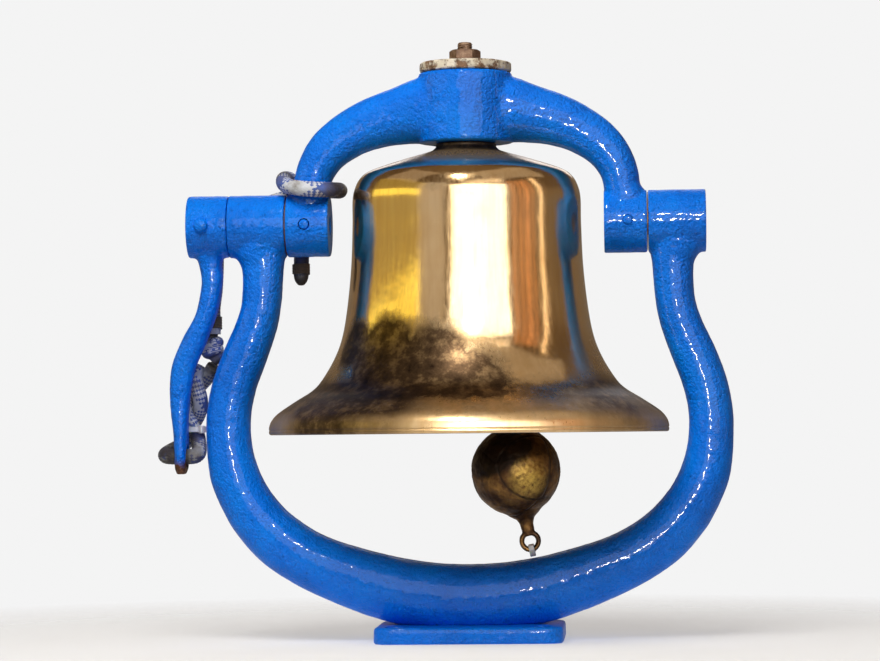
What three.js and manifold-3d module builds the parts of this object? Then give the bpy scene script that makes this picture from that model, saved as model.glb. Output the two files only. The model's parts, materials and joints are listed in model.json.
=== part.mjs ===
// A cast bell hung in a yoke, swinging on two trunnions in a U-shaped cradle, with its clapper,
// its crank arm and the rope made fast between them. Millimetres, +Z up, the front faces -Y.
// The origin is the middle of the cradle's foot, where it stands.
import * as THREE from "three";
import { mergeVertices } from "three/addons/utils/BufferGeometryUtils.js";
import Module from "manifold-3d";

const wasm = await Module();
wasm.setup();

// ---- Driving dimensions ----
const GAP = 0.3; // between pieces that touch

const AXIS_Z = 333; // height of the trunnion axis
const BOSS_RADIUS = 25;
const SHAFT_RADIUS = 8;
const BUSH_RADIUS = 11;
const CRADLE_BOSS = { from: 145.3, to: 191 }; // distances from the bell's axis
const YOKE_BOSS = { from: 110, to: 144.1 };
const BUSH_FLANGE = { radius: 23.4, from: 144.4, to: 145 }; // the thrust face between the bosses
const CRANK_BOSS = { from: 191.6, to: 224 };
const PIN_RADIUS = 4;
const PIN_X = 129;
const SCREW = { x: -211.5, radius: 4, tip: 4.5, headRadius: 5.2, headHeight: 4.2 };

const FOOT = { length: 150, depth: 110, thickness: 13, corner: 14 };
const FOOT_HOLE = { radius: 5.5, x: 57, y: 40, sides: 24 };
const BEDDING = 0.5; // between the cradle's belly and the foot's saddle

const HUB = { bottom: 397.6, top: 454, lowRadius: 38.5, topRadius: 37.4, boreRadius: 17 };
const RING = { radius: 36.9, thickness: 8 };
const NUT = { acrossCorners: 25.2, thickness: 10 };
const STUD = { radius: 6.2, top: 478.7 };

const BELL = { neckRadius: 24.2, shankTop: 451 };
const CROWN_INSIDE_Z = 371;

const PIVOT_Z = 325.6; // the clapper's pin
const CLAPPER_TILT = THREE.MathUtils.degToRad(11);
const CLAPPER = {
  ball: 35.6,
  ballAt: 194.4,
  eyeAt: 251.7,
  eyeRadius: 8.8,
  eyeHole: 4.8,
  rodRadius: 8,
};
const CLAPPER_PIN_RADIUS = 5;
const TIE_REACH = 264.1; // from the clapper's pin to the end of the tie, just short of the cradle

const CRANK_EYE = { x: -231.6, z: 148.6, holeRadius: 7.2, width: 11.6 };
const ROPE_RADIUS = 6;

// ---- Materials ----
const bluePaint = new THREE.MeshStandardMaterial({ color: 0x146fe0, roughness: 0.28, metalness: 0.0 });
const bellBronze = new THREE.MeshStandardMaterial({ color: 0xb68d3b, roughness: 0.22, metalness: 1.0 });
const darkBronze = new THREE.MeshStandardMaterial({ color: 0x725229, roughness: 0.4, metalness: 0.9 });
const bushBronze = new THREE.MeshStandardMaterial({ color: 0x9a7640, roughness: 0.35, metalness: 1.0 });
const steel = new THREE.MeshStandardMaterial({ color: 0x8a8782, roughness: 0.4, metalness: 1.0 });
const rustySteel = new THREE.MeshStandardMaterial({ color: 0x7f6959, roughness: 0.75, metalness: 0.5 });
const wornPlate = new THREE.MeshStandardMaterial({ color: 0xb9ab97, roughness: 0.7, metalness: 0.2 });
const braidedRope = new THREE.MeshStandardMaterial({ color: 0x8c9bb8, roughness: 0.9, metalness: 0.0 });
const whiteNylon = new THREE.MeshStandardMaterial({ color: 0xd6dbe2, roughness: 0.45, metalness: 0.0 });
const twine = new THREE.MeshStandardMaterial({ color: 0x5d4a38, roughness: 0.9, metalness: 0.0 });

// ---- Shape helpers ----
const vec = (x, y, z) => new THREE.Vector3(x, y, z);

// A closed geometry as a manifold-3d solid.
function solid(geometry) {
  const bare = geometry.clone();
  bare.deleteAttribute("normal");
  bare.deleteAttribute("uv");
  const merged = mergeVertices(bare, 1e-4);
  const vertProperties = new Float32Array(merged.attributes.position.array);
  const triVerts = new Uint32Array(merged.index.array);
  return new wasm.Manifold(new wasm.Mesh({ numProp: 3, vertProperties, triVerts }));
}

// A manifold-3d solid as a three.js geometry.
function geometryOf(shape) {
  const mesh = shape.getMesh();
  const positions = new Float32Array(mesh.numVert * 3);
  for (let i = 0; i < mesh.numVert; i++) {
    positions.set(mesh.vertProperties.subarray(i * mesh.numProp, i * mesh.numProp + 3), i * 3);
  }
  const geometry = new THREE.BufferGeometry();
  geometry.setAttribute("position", new THREE.BufferAttribute(positions, 3));
  geometry.setIndex(new THREE.BufferAttribute(mesh.triVerts, 1));
  geometry.computeVertexNormals();
  return geometry;
}

// Skin a row of rings of points into one closed body, with a fan over each end.
function skin(rings) {
  const sides = rings[0].length;
  const points = rings.flat();
  const faces = [];
  for (let start = 0; start < (rings.length - 1) * sides; start += sides) {
    for (let side = 0; side < sides; side++) {
      const next = (side + 1) % sides;
      faces.push(start + side, start + next, start + sides + next);
      faces.push(start + side, start + sides + next, start + sides + side);
    }
  }
  const ends = [[rings[0], 0, true], [rings.at(-1), points.length - sides, false]];
  for (const [ring, first, flip] of ends) {
    const middle = points.length;
    points.push(ring.reduce((sum, p) => sum.add(p), vec(0, 0, 0)).divideScalar(sides));
    for (let side = 0; side < sides; side++) {
      const next = (side + 1) % sides;
      faces.push(middle, first + (flip ? next : side), first + (flip ? side : next));
    }
  }
  const geometry = new THREE.BufferGeometry().setFromPoints(points);
  geometry.setIndex(faces);
  geometry.computeVertexNormals();
  return geometry;
}

// One point of a rounded section: an ellipse pushed out towards its corners.
function rounded(angle) {
  const ROUNDNESS = 2.3;
  const push = (value) => Math.sign(value) * Math.abs(value) ** (2 / ROUNDNESS);
  return [push(Math.cos(angle)), push(Math.sin(angle))];
}

// A cast arm that stays in the plane y = 0. Each station gives a point on its inner contour, the
// point facing it on its outer contour, and half its depth along Y.
function castArm(stations, steps, sides, turn) {
  const inner = new THREE.CatmullRomCurve3(
    stations.map((s) => vec(s.inner[0], s.depth, s.inner[1])), false, "catmullrom");
  const outer = new THREE.CatmullRomCurve3(
    stations.map((s) => vec(s.outer[0], s.depth, s.outer[1])), false, "catmullrom");
  const rings = [];
  for (let step = 0; step <= steps; step++) {
    const from = inner.getPoint(step / steps);
    const to = outer.getPoint(step / steps);
    const ring = [];
    for (let side = 0; side < sides; side++) {
      const [across, deep] = rounded((side / sides) * 2 * Math.PI);
      const share = (1 + across) / 2;
      const x = THREE.MathUtils.lerp(from.x, to.x, share);
      const z = THREE.MathUtils.lerp(from.z, to.z, share);
      ring.push(vec(x, turn * deep * from.y, z));
    }
    rings.push(ring);
  }
  return skin(rings);
}

// The same stations followed by their mirror image across x = 0.
function withMirror(half) {
  const flipped = half.slice(0, -1).map((s) => ({
    inner: [-s.inner[0], s.inner[1]],
    outer: [-s.outer[0], s.outer[1]],
    depth: s.depth,
  }));
  return [...half, ...flipped.reverse()];
}

// A turned shape about +Z, from [radius, height] pairs that go up the outside.
function turned(profile, segments) {
  const points = profile.map(([radius, height]) => new THREE.Vector2(radius, height));
  return new THREE.LatheGeometry(points, segments).rotateX(Math.PI / 2);
}

// A round bar between two heights, with its edges broken by a small chamfer.
function bar(radius, low, high, segments = 32, chamfer = 0.8) {
  return turned([
    [0, low],
    [radius - chamfer, low],
    [radius, low + chamfer],
    [radius, high - chamfer],
    [radius - chamfer, high],
    [0, high],
  ], segments);
}

// A tube wall between two heights.
function collar(innerRadius, outerRadius, low, high, segments = 32, chamfer = 0.6) {
  return turned([
    [innerRadius, low],
    [outerRadius - chamfer, low],
    [outerRadius, low + chamfer],
    [outerRadius, high - chamfer],
    [outerRadius - chamfer, high],
    [innerRadius, high],
    [innerRadius, low],
  ], segments);
}

// The same shapes laid along X at the trunnion axis, or along Y at a given place.
const alongX = (geometry) => geometry.rotateY(Math.PI / 2).translate(0, 0, AXIS_Z);
const alongY = (geometry, x, z) => geometry.rotateX(Math.PI / 2).translate(x, 0, z);

// Cross holes for the yoke's pins and for the crank's set screw.
const pinHole = (x) => alongY(bar(PIN_RADIUS + GAP, -40, 40, 20), x, AXIS_Z);
const screwHole = () => alongY(bar(SCREW.radius + GAP, SCREW.tip - 1.4, 40, 20), SCREW.x, AXIS_Z);

// A round tube along hand-chosen points.
function tube(points, radius, steps, sides) {
  const circle = new THREE.Shape();
  for (let side = 0; side < sides; side++) {
    const angle = (side / sides) * 2 * Math.PI;
    const [x, y] = [radius * Math.cos(angle), radius * Math.sin(angle)];
    if (side === 0) circle.moveTo(x, y);
    else circle.lineTo(x, y);
  }
  circle.closePath();
  const extrudePath = new THREE.CatmullRomCurve3(points.map((p) => vec(...p)));
  return new THREE.ExtrudeGeometry(circle, { extrudePath, steps });
}

const part = new THREE.Group();

function add(name, geometry, material, group = part) {
  const mesh = new THREE.Mesh(geometry, material);
  mesh.name = name;
  group.add(mesh);
  return mesh;
}

// ---- Cradle: one casting, a U-shaped bar between two bearing bosses, and the foot under it ----
const CRADLE_HALF = [
  { inner: [150, 334], outer: [180, 334], depth: 19 },
  { inner: [148, 300], outer: [180.5, 300], depth: 19.5 },
  { inner: [150, 272], outer: [181.6, 272], depth: 20 },
  { inner: [154, 250], outer: [187, 254], depth: 20.5 },
  { inner: [162, 226], outer: [197.5, 231], depth: 21 },
  { inner: [171, 202], outer: [206, 207], depth: 21.5 },
  { inner: [175.4, 180], outer: [210.6, 182], depth: 22 },
  { inner: [174.6, 157], outer: [210.8, 157], depth: 22.5 },
  { inner: [168.8, 136], outer: [207.8, 130], depth: 23 },
  { inner: [158, 117], outer: [199, 107], depth: 23.5 },
  { inner: [141, 99.5], outer: [185.5, 84], depth: 24 },
  { inner: [116, 84], outer: [160, 58], depth: 25 },
  { inner: [82, 72.6], outer: [117, 34], depth: 26 },
  { inner: [42, 63.6], outer: [60, 13.5], depth: 26.5 },
  { inner: [0, 60.4], outer: [0, 5.5], depth: 27 },
];

function footPad() {
  const { length, depth, thickness, corner } = FOOT;
  const [x, y] = [length / 2, depth / 2];
  const outline = new THREE.Shape();
  outline.moveTo(-x + corner, -y);
  outline.lineTo(x - corner, -y);
  outline.absarc(x - corner, -y + corner, corner, -Math.PI / 2, 0);
  outline.lineTo(x, y - corner);
  outline.absarc(x - corner, y - corner, corner, 0, Math.PI / 2);
  outline.lineTo(-x + corner, y);
  outline.absarc(-x + corner, y - corner, corner, Math.PI / 2, Math.PI);
  outline.lineTo(-x, -y + corner);
  outline.absarc(-x + corner, -y + corner, corner, Math.PI, 1.5 * Math.PI);
  for (const holeX of [-FOOT_HOLE.x, FOOT_HOLE.x]) {
    for (const holeY of [-FOOT_HOLE.y, FOOT_HOLE.y]) {
      const hole = new THREE.Path();
      hole.absarc(holeX, holeY, FOOT_HOLE.radius, 0, 2 * Math.PI, true);
      outline.holes.push(hole);
    }
  }
  const options = { depth: thickness, bevelEnabled: false, curveSegments: FOOT_HOLE.sides / 4 };
  return new THREE.ExtrudeGeometry(outline, options);
}

function cradle() {
  let shape = solid(castArm(withMirror(CRADLE_HALF), 46, 16, -1));
  const boss = () => alongX(bar(BOSS_RADIUS, CRADLE_BOSS.from, CRADLE_BOSS.to, 40, 1.5));
  const bore = () => alongX(bar(BUSH_RADIUS + GAP, 100, 260, 32));
  for (const turn of [0, Math.PI]) {
    shape = shape.add(solid(boss().rotateZ(turn)));
    shape = shape.subtract(solid(bore().rotateZ(turn)));
  }
  return geometryOf(shape);
}

add("cradle", cradle(), bluePaint);

// The foot is a plate with a saddle for the bar's belly, which lies in it with a thin bedding gap.
function foot() {
  const lowered = CRADLE_HALF.map((s) => ({
    inner: [s.inner[0], s.inner[1]],
    outer: [s.outer[0], s.outer[1] - BEDDING],
    depth: s.depth + BEDDING,
  }));
  const saddle = solid(castArm(withMirror(lowered), 46, 16, -1));
  return geometryOf(solid(footPad()).subtract(saddle));
}

add("cradle_foot", foot(), bluePaint);

// ---- Bearing bushes, pressed into the cradle's bosses, each with a thin flange against the yoke ----
const bush = () => alongX(turned([
  [SHAFT_RADIUS + GAP, BUSH_FLANGE.from],
  [BUSH_FLANGE.radius, BUSH_FLANGE.from],
  [BUSH_FLANGE.radius, BUSH_FLANGE.to],
  [BUSH_RADIUS, BUSH_FLANGE.to],
  [BUSH_RADIUS, CRADLE_BOSS.to - GAP],
  [SHAFT_RADIUS + GAP, CRADLE_BOSS.to - GAP],
  [SHAFT_RADIUS + GAP, BUSH_FLANGE.from],
], 32));
add("right_bush", bush(), bushBronze);
add("left_bush", bush().rotateZ(Math.PI), bushBronze);

// ---- Yoke: one casting, an arch between two trunnion bosses with a hub at its crown ----
const YOKE_HALF = [
  { inner: [114, 334], outer: [140, 334], depth: 17.5 },
  { inner: [110.5, 358], outer: [138.5, 357], depth: 18 },
  { inner: [107, 371], outer: [138, 372], depth: 18.5 },
  { inner: [99.5, 380.5], outer: [133.5, 387], depth: 19 },
  { inner: [89, 387.5], outer: [124, 403.5], depth: 19.5 },
  { inner: [77, 392.8], outer: [108, 418.6], depth: 20 },
  { inner: [62, 396.3], outer: [84, 433], depth: 21 },
  { inner: [44, 397.8], outer: [55, 443.6], depth: 22.5 },
  { inner: [22, 398], outer: [26, 447], depth: 24 },
  { inner: [0, 398], outer: [0, 448], depth: 24 },
];

function yoke() {
  const hub = turned([
    [0, HUB.bottom],
    [HUB.lowRadius - 1, HUB.bottom],
    [HUB.lowRadius, HUB.bottom + 1],
    [HUB.topRadius, HUB.top - 1],
    [HUB.topRadius - 1, HUB.top],
    [0, HUB.top],
  ], 48);
  let shape = solid(castArm(withMirror(YOKE_HALF), 36, 16, 1)).add(solid(hub));
  const shankHole = bar(HUB.boreRadius + GAP, HUB.bottom - 20, HUB.top + 20, 40);
  const boss = () => alongX(bar(BOSS_RADIUS, YOKE_BOSS.from, YOKE_BOSS.to, 40, 1.5));
  const bore = () => alongX(bar(SHAFT_RADIUS + GAP, 90, 160, 32));
  for (const turn of [0, Math.PI]) {
    shape = shape.add(solid(boss().rotateZ(turn)));
    shape = shape.subtract(solid(bore().rotateZ(turn)));
    shape = shape.subtract(solid(pinHole(PIN_X).rotateZ(turn)));
  }
  return geometryOf(shape.subtract(solid(shankHole)));
}

add("yoke", yoke(), bluePaint);

// ---- Trunnion shafts and the pins that lock them in the yoke ----
function shaft(from, to, holes) {
  return geometryOf(holes.reduce(
    (shape, hole) => shape.subtract(solid(hole)),
    solid(alongX(bar(SHAFT_RADIUS, from, to)))));
}

const shaftStart = YOKE_BOSS.from + 2;
add("right_trunnion_shaft", shaft(shaftStart, CRADLE_BOSS.to - 2, [pinHole(PIN_X)]), steel);
add("left_trunnion_shaft", shaft(3 - CRANK_BOSS.to, -shaftStart, [pinHole(-PIN_X), screwHole()]), steel);

const yokePin = () => bar(PIN_RADIUS, -BOSS_RADIUS - 0.4, BOSS_RADIUS + 0.4, 20, 0.6);
add("right_yoke_pin", alongY(yokePin(), PIN_X, AXIS_Z), bluePaint);
add("left_yoke_pin", alongY(yokePin(), -PIN_X, AXIS_Z), bluePaint);

// ---- Crank arm: a boss on the left shaft, a bent bar and an eye for the rope ----
const CRANK_STATIONS = [
  { inner: [-200.5, 334], outer: [-218, 334], depth: 12 },
  { inner: [-198, 305], outer: [-214.8, 302], depth: 12 },
  { inner: [-197, 290], outer: [-214.2, 286], depth: 12 },
  { inner: [-201, 266], outer: [-219.2, 263], depth: 11.5 },
  { inner: [-210, 242], outer: [-229.5, 244], depth: 11 },
  { inner: [-219, 221], outer: [-238.6, 222], depth: 10.5 },
  { inner: [-223.4, 202], outer: [-240.6, 202], depth: 10 },
  { inner: [-225.4, 182], outer: [-239.6, 182], depth: 10 },
  { inner: [-226, 168], outer: [-238, 168], depth: 11 },
  { inner: [-225.8, 157], outer: [-237.4, 157], depth: 13.4 },
  { inner: [-225.8, 148], outer: [-237.2, 148], depth: 14.4 },
  { inner: [-226.4, 140], outer: [-236.8, 140], depth: 12.4 },
  { inner: [-228.2, 134.6], outer: [-235.2, 134.6], depth: 8 },
];

// The eye's hole is worn open towards both faces.
function crankEyeHole() {
  const { x, z, width, holeRadius } = CRANK_EYE;
  const flare = 4;
  return turned([
    [0, -20],
    [holeRadius + flare + 1, -20],
    [holeRadius + flare + 1, -width / 2 - 1],
    [holeRadius, flare - width / 2],
    [holeRadius, width / 2 - flare],
    [holeRadius + flare + 1, width / 2 + 1],
    [holeRadius + flare + 1, 20],
    [0, 20],
  ], 22).rotateY(Math.PI / 2).translate(x, 0, z);
}

function crankArm() {
  const boss = alongX(bar(BOSS_RADIUS, -CRANK_BOSS.to, -CRANK_BOSS.from, 40, 1.5));
  const bore = alongX(bar(SHAFT_RADIUS + GAP, -CRANK_BOSS.to + 2.6, -150, 32));
  return geometryOf(
    solid(castArm(CRANK_STATIONS, 30, 12, 1))
      .add(solid(boss))
      .subtract(solid(bore))
      .subtract(solid(crankEyeHole()))
      .subtract(solid(screwHole())));
}

add("crank_arm", crankArm(), bluePaint);

// Its set screw stands a little proud of the boss at the front, under a domed head.
function setScrew() {
  const seat = BOSS_RADIUS + 0.4;
  return turned([
    [0, SCREW.tip],
    [SCREW.radius, SCREW.tip],
    [SCREW.radius, seat],
    [SCREW.headRadius, seat],
    [SCREW.headRadius, seat + 0.5 * SCREW.headHeight],
    [0.8 * SCREW.headRadius, seat + 0.85 * SCREW.headHeight],
    [0, seat + SCREW.headHeight],
  ], 24);
}

add("crank_set_screw", alongY(setScrew(), SCREW.x, AXIS_Z), bluePaint);

// ---- Bell: crown, waist and sound bow with its neck and the shank that goes up the hub ----
const BELL_OUTSIDE = [
  [160, 165], [159.9, 168.5], [156.8, 176], [150, 184], [138, 192], [125.2, 200],
  [117.6, 208], [107.8, 224], [101, 241], [96.6, 264], [93, 298], [91.6, 332],
  [91.4, 352], [89.4, 362], [85, 370], [77, 375.6], [53, 383.8], [30, 390.6], [25.4, 393.2],
];
const BELL_INSIDE = [
  [STUD.radius + GAP, CROWN_INSIDE_Z], [50, 369], [68, 364.5], [78, 356], [82, 342],
  [83, 318], [84.6, 290], [87.6, 264], [92, 241], [99, 220], [109, 202.6],
  [122, 186.4], [136, 174], [147, 166.4], [151, 165],
];

const bellProfile = [
  ...BELL_OUTSIDE,
  [BELL.neckRadius, 395.5],
  [BELL.neckRadius, HUB.bottom - GAP],
  [HUB.boreRadius, HUB.bottom - GAP],
  [HUB.boreRadius, BELL.shankTop],
  [STUD.radius + GAP, BELL.shankTop],
  ...BELL_INSIDE,
  BELL_OUTSIDE[0],
];
add("bell", turned(bellProfile, 40), bellBronze);

// ---- Clapper bolt: a stud through the whole stack, forged with a flange and a fork below ----
const FORK = {
  flangeRadius: 19,
  flangeTop: CROWN_INSIDE_Z - 1.6,
  flangeBottom: 361,
  width: 24,
  earOut: 15,
  slot: 8.5,
};

function clapperBolt() {
  const { flangeRadius, flangeTop, flangeBottom, width, earOut, slot } = FORK;
  const stud = bar(STUD.radius, flangeBottom - 4, STUD.top, 28, 1);
  const flange = bar(flangeRadius, flangeBottom, flangeTop, 32, 1);
  const block = new THREE.BoxGeometry(width, 2 * earOut, flangeBottom - PIVOT_Z + 2)
    .translate(0, 0, (flangeBottom + PIVOT_Z) / 2 + 1);
  const ears = alongY(bar(width / 2, -earOut, earOut, 32, 0.5), 0, PIVOT_Z);
  const room = new THREE.BoxGeometry(60, 2 * slot, 44).translate(0, 0, PIVOT_Z + 3);
  const pinHole = alongY(bar(CLAPPER_PIN_RADIUS + GAP, -40, 40, 24), 0, PIVOT_Z);
  return geometryOf(
    solid(stud).add(solid(flange)).add(solid(block)).add(solid(ears))
      .subtract(solid(room))
      .subtract(solid(pinHole)));
}

add("clapper_bolt", clapperBolt(), rustySteel);

// ---- Plate washer and nut on top of the hub ----
const ringLow = HUB.top + GAP;
const ringHigh = ringLow + RING.thickness;
add("top_plate_washer", collar(STUD.radius + GAP, RING.radius, ringLow, ringHigh, 36, 1), wornPlate);

function hexNut() {
  const low = ringHigh + GAP;
  const outer = bar(NUT.acrossCorners / 2, low, low + NUT.thickness, 6, 0.8);
  const hole = bar(STUD.radius + GAP, low - 5, low + NUT.thickness + 5, 28);
  return geometryOf(solid(outer).subtract(solid(hole)));
}

add("top_nut", hexNut(), rustySteel);

// ---- Clapper: an iron rod hung on the pin, cast into a ball with a tail and an eye ----
const clapperGroup = new THREE.Group();
clapperGroup.position.set(0, 0, PIVOT_Z);
clapperGroup.rotation.y = -CLAPPER_TILT; // the tail hangs towards +X
part.add(clapperGroup);

function clapperRod() {
  const { rodRadius, ballAt } = CLAPPER;
  const rod = bar(rodRadius, -ballAt + 12, 2, 24, 1);
  const eye = bar(13, -7.8, 7.8, 28, 1).rotateX(Math.PI / 2);
  const hole = bar(CLAPPER_PIN_RADIUS + GAP, -20, 20, 24).rotateX(Math.PI / 2);
  return geometryOf(solid(rod).add(solid(eye)).subtract(solid(hole)));
}

function clapperBall() {
  const { ball, ballAt, eyeAt, eyeRadius, eyeHole, rodRadius } = CLAPPER;
  const BALL_STEPS = 12;
  const outline = [
    [0, -eyeAt + 3],
    [4, -eyeAt + 3],
    [5.3, -eyeAt + 10],
    [5.8, -eyeAt + 16],
    [9, -eyeAt + 19.5],
  ];
  const meets = Math.asin(13 / ball);
  for (let step = 0; step <= BALL_STEPS; step++) {
    const angle = THREE.MathUtils.lerp(meets, Math.PI - 0.3, step / BALL_STEPS);
    outline.push([ball * Math.sin(angle), -ballAt - ball * Math.cos(angle)]);
  }
  outline.push([0, -ballAt + ball * Math.cos(0.3)]);
  const eye = bar(eyeRadius, -4, 4, 24, 1.2).rotateX(Math.PI / 2).translate(0, 0, -eyeAt);
  const hole = bar(eyeHole, -20, 20, 20).rotateX(Math.PI / 2).translate(0, 0, -eyeAt);
  const socket = bar(rodRadius + GAP, -ballAt + 12 - GAP, 0, 24);
  return geometryOf(
    solid(turned(outline, 28)).add(solid(eye)).subtract(solid(hole)).subtract(solid(socket)));
}

add("clapper_rod", clapperRod(), rustySteel, clapperGroup);
add("clapper_ball", clapperBall(), darkBronze, clapperGroup);

// The pin through the fork, headed at the front and held by a split pin at the back.
function clapperPin() {
  const pin = turned([
    [0, -20],
    [CLAPPER_PIN_RADIUS, -20],
    [CLAPPER_PIN_RADIUS, FORK.earOut + GAP],
    [8, FORK.earOut + GAP],
    [8, FORK.earOut + 3.2],
    [0, FORK.earOut + 3.2],
  ], 24);
  const splitHole = bar(1.9, -20, 20, 12, 0.3).translate(0, 17.7, PIVOT_Z);
  return geometryOf(solid(alongY(pin, 0, PIVOT_Z)).subtract(solid(splitHole)));
}

add("clapper_pin", clapperPin(), steel);
add("clapper_split_pin", bar(1.6, -8, 9, 12, 0.5).translate(0, 17.7, PIVOT_Z), steel);

// The cable tie through the tail's eye, one flat loop that ends just above the cradle's bar.
const TIE = { width: 4.4, thickness: 1.2 };
function clapperTie() {
  const { width, thickness } = TIE;
  const top = 2.1 - CLAPPER.eyeHole; // it bears on the lower rim of the eye's hole
  const foot = CLAPPER.eyeAt - TIE_REACH;
  const shoulder = 0.6 - CLAPPER.eyeRadius; // below this the legs close in
  const bulge = 5.6;
  const loop = (inset) => [
    [-bulge + inset, top - inset],
    [-bulge + inset, shoulder],
    [-3 + inset, foot + inset],
    [3 - inset, foot + inset],
    [bulge - inset, shoulder],
    [bulge - inset, top - inset],
  ].map(([y, z]) => new THREE.Vector2(y, z));
  const outline = new THREE.Shape(loop(0));
  outline.holes.push(new THREE.Path(loop(thickness)));
  return new THREE.ExtrudeGeometry(outline, { depth: width, bevelEnabled: false })
    .translate(0, 0, -width / 2)
    .rotateX(Math.PI / 2)
    .rotateZ(Math.PI / 2)
    .translate(0, 0, -CLAPPER.eyeAt);
}

add("clapper_tie", clapperTie(), whiteNylon, clapperGroup);

// ---- Rope: hitched round the yoke's left arm, led behind the bosses to the crank's eye ----
const ROPE_STEP = 2 * ROPE_RADIUS * 1.2;

// The run comes from behind the crank arm, turns once round the yoke's arm and hangs as a tail.
const ROPE_RUN = [
  [-208, 21.5, 247.5], [-208, 21.5, 258], [-208, 21.5, 269], [-206.5, 24, 283], [-206, 27.5, 298],
  [-206, 31, 313], [-205, 33.6, 328], [-201, 33.8, 340], [-192, 31.6, 348.5], [-179, 30.6, 351],
  [-165, 31.6, 353.5], [-150, 33, 358], [-136, 31.6, 362], [-122, 27.6, 363.5], [-109.5, 20, 362.5],
  [-103, 8, 361.5], [-102.6, -7, 361], [-109, -20, 360.5], [-121, -27.4, 360.5], [-134, -24.8, 362],
  [-143.6, -14, 365], [-147.4, 1, 369], [-148, 17, 372.5], [-145, 32, 372.6], [-140.5, 42.6, 366.5],
  [-138, 47.6, 355], [-137, 47, 341], [-137, 42.4, 326], [-137, 37, 311], [-137, 33, 297.5],
  [-137, 31.4, 287],
];

// The bight hangs from the knot: one strand goes down, through the eye, round it and up again.
const BIGHT_AXIS = [
  [-214, 22.4, 221], [-218.4, 23, 213], [-221.4, 24, 205.5], [-223.8, 24, 197.5],
  [-225.4, 24, 190], [-226.2, 24, 182.5], [-226.4, 24, 175], [-226.4, 24, 167.5],
];
const STRAND_OFFSET = ROPE_RADIUS + 0.3;
const BIGHT_TURN = THREE.MathUtils.degToRad(315);

function strand(side) {
  return BIGHT_AXIS.map(([x, y, z], i) => {
    const angle = side * Math.PI + (BIGHT_TURN * i) / (BIGHT_AXIS.length - 1);
    return [x + STRAND_OFFSET * Math.cos(angle), y + STRAND_OFFSET * Math.sin(angle), z];
  });
}

const BIGHT_THROUGH_EYE = [
  [-219.6, 15.8, 158.8], [-218.6, 7.4, 152], [-220.6, 1.6, 149.2], [-226, 0, 148.6],
  [-231.6, 0, 148.6], [-238.4, 0.4, 148.6], [-243.8, 4, 149], [-246, 11, 150.2],
  [-243.8, 19, 152.6], [-237.8, 25.4, 156.2], [-231.6, 28.2, 160.8],
];
const ROPE_BIGHT = [...strand(0), ...BIGHT_THROUGH_EYE, ...strand(1).reverse()];

function ropeTube(points) {
  const path = new THREE.CatmullRomCurve3(points.map((p) => vec(...p)));
  const steps = Math.round(path.getLength() / ROPE_STEP);
  return tube(points, ROPE_RADIUS, steps, 10);
}

add("rope_run", ropeTube(ROPE_RUN), braidedRope);
add("rope_bight", ropeTube(ROPE_BIGHT), braidedRope);

const KNOT = { x: -208, y: 21.3, z: 236, width: 8.6, depth: 10, height: 10.6 };
const knot = new THREE.SphereGeometry(1, 14, 9)
  .scale(KNOT.width, KNOT.depth, KNOT.height)
  .translate(KNOT.x, KNOT.y, KNOT.z);
add("rope_knot", knot, braidedRope);

// A whipping of twine on the run above the knot.
add("rope_whipping", collar(ROPE_RADIUS + GAP, ROPE_RADIUS + 1.8, 252, 262, 24, 0.4)
  .translate(-208, 21.5, 0), twine);

// The cable tie that binds the two strands just above the eye.
add("rope_cable_tie", collar(2 * ROPE_RADIUS + 0.75, 2 * ROPE_RADIUS + 2.1, 168, 172.8, 24, 0.4)
  .translate(-226.4, 24, 0), whiteNylon);

export default part;
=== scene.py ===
import json
import math
from functools import partialmethod

import bmesh
import bpy
import numpy as np
from mathutils import Matrix, Vector


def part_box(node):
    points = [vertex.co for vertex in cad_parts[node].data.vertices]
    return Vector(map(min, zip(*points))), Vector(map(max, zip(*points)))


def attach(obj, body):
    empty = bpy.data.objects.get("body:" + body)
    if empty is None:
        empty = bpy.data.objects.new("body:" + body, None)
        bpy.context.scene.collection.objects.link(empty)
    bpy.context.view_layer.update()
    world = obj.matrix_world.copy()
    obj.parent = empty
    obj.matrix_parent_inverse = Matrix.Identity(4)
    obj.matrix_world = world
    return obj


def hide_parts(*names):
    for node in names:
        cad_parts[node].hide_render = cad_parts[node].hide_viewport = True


# A yoke-mounted bell in its cradle. Lengths below are millimetres in the CAD frame (+Z up, the
# front faces -Y, the origin is the middle of the foot's underside) until MM turns them to metres.
MM = 0.001

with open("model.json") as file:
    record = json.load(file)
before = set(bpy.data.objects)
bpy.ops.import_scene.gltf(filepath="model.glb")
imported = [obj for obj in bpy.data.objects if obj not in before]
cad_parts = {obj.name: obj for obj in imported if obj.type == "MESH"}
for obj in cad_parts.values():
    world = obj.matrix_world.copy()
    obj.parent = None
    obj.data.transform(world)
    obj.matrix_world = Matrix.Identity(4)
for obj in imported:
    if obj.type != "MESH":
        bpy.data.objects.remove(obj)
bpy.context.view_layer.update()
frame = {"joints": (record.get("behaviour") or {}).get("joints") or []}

# ---- Driving dimensions, read from the frame where it holds them ----
JOINTS = {joint["name"]: joint for joint in frame["joints"]}
AXIS_Z = JOINTS["yoke_swing"]["pos_m"][2] / MM
PIVOT_Z = JOINTS["clapper_swing"]["pos_m"][2] / MM
BOSS_RADIUS = 25
SHAFT_RADIUS = 8
BUSH_RADIUS = 11
CLEARANCE = 0.3  # between a bore's wall and what turns or sits in it
CRADLE_BOSS = (145.3, 191)
YOKE_BOSS = (110, 144.1)
CRANK_BOSS = (191.6, 224)
FLANGE_RADIUS = 23.4
FLANGE = (144.4, 145)  # of a bush, between its cradle boss and its yoke boss
PIN_X = 129
PIN_RADIUS = 3.9
SCREW_X = -211.5
RING_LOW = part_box("top_plate_washer")[0].z / MM
RING_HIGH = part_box("top_plate_washer")[1].z / MM
STUD_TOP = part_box("clapper_bolt")[1].z / MM
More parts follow.
